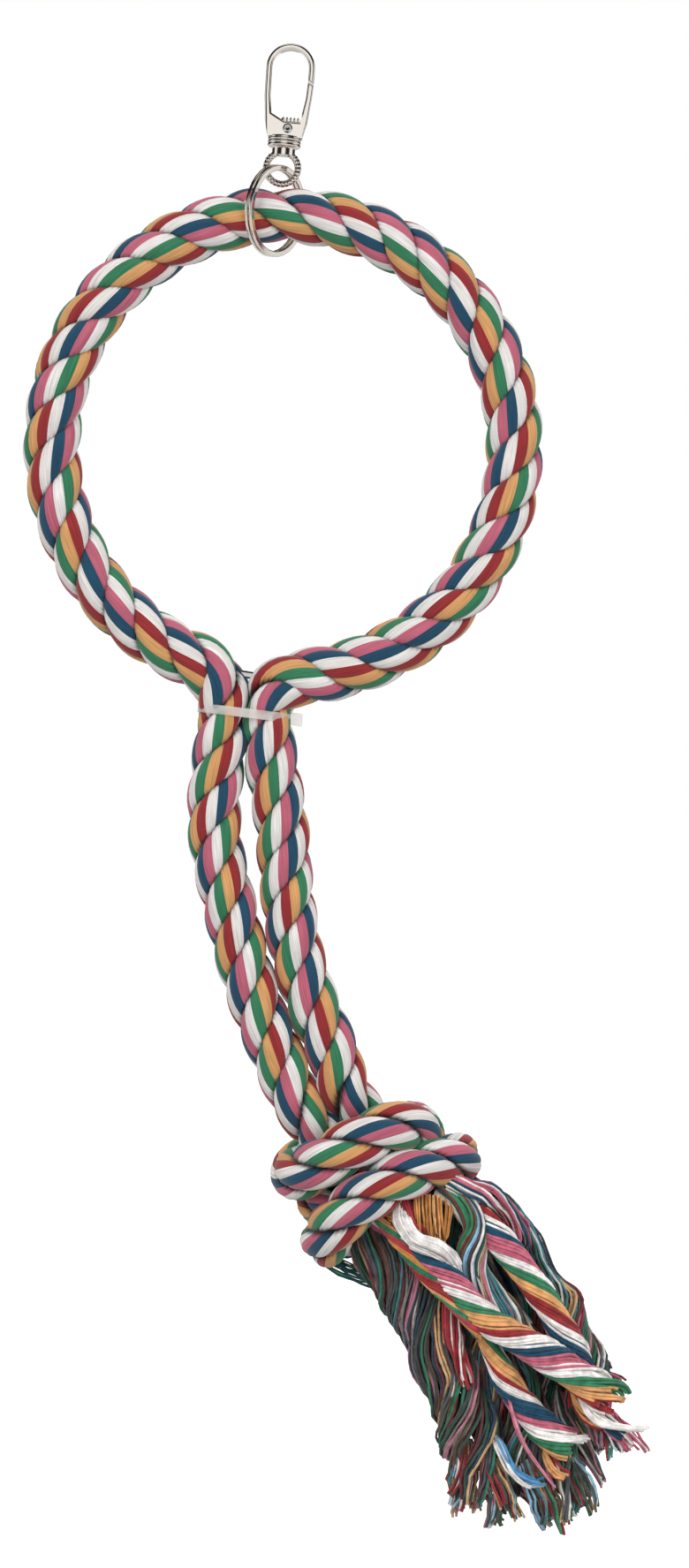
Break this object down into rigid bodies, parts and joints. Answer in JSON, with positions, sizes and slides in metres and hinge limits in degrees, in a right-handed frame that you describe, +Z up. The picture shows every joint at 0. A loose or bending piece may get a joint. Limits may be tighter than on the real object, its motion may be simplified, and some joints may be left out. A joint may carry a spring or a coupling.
{
  "type": "bird swing",
  "caption": "Rope ring on a wire hoop, hung from a swivel snap hook by a split ring, with the rope ends tied below in a knotted, frayed tail, as a perch and chew toy for a cage bird.",
  "frame": {"origin": "inside top of the snap hook's bow, where the swing hangs", "axes": "+Z up along the hanging direction, +X to the right across the rope ring, +Y through the ring, away from the viewer"},
  "size_m": [0.1672, 0.0464, 0.4023],
  "materials": {
    "polished_nickel": "polished nickel plate",
    "spring_steel": "bright drawn wire",
    "cotton_rope": "dyed three-strand cotton rope, striped yarns",
    "loose_yarn": "unlaid, frayed cotton yarns",
    "natural_nylon": "translucent natural nylon"
  },
  "bodies": {
    "hook": {"hook_frame": "polished_nickel", "gate_pin": "spring_steel", "gate_spring": "spring_steel"},
    "gate": {"hook_gate": "polished_nickel"},
    "eye": {"swivel_eye": "polished_nickel"},
    "link": {"split_ring": "polished_nickel"},
    "ring": {"ring_wire": "spring_steel", "ring_rope": "cotton_rope", "cable_tie": "natural_nylon"},
    "tail": {"left_tail_rope": "cotton_rope", "right_tail_rope": "cotton_rope", "knot_rope_left": "cotton_rope", "knot_rope_right": "cotton_rope", "tassel_strand_1": "loose_yarn", "tassel_strand_2": "loose_yarn", "tassel_strand_3": "loose_yarn", "tassel_strand_4": "loose_yarn", "tassel_strand_5": "loose_yarn", "tassel_strand_6": "loose_yarn"}
  },
  "joints": [
    {"name": "gate_hinge", "type": "hinge", "parent": "hook", "child": "gate", "pos_m": [-0.00128, 0, -0.02147], "axis": [0, -1, 0], "range_deg": [0, 30], "stiffness_Nm_per_rad": 0.02, "springref_deg": -17.19, "deforming": ["gate_spring"]},
    {"name": "swivel", "type": "hinge", "parent": "hook", "child": "eye", "pos_m": [-0.0028, 0, -0.03203], "axis": [0.0872, 0, 0.9962], "continuous": true},
    {"name": "link_swing", "type": "hinge", "parent": "eye", "child": "link", "pos_m": [-0.0028, 0, -0.03203], "axis": [1, 0, 0], "range_deg": [-32, 45]},
    {"name": "ring_sway", "type": "hinge", "parent": "link", "child": "ring", "pos_m": [-0.0049, 0, -0.0447], "axis": [0, 1, 0], "range_deg": [-8, 16]},
    {"name": "tail_swing", "type": "hinge", "parent": "ring", "child": "tail", "pos_m": [-0.0129, 0, -0.18466], "axis": [1, 0, 0], "range_deg": [-32, 32]}
  ]
}
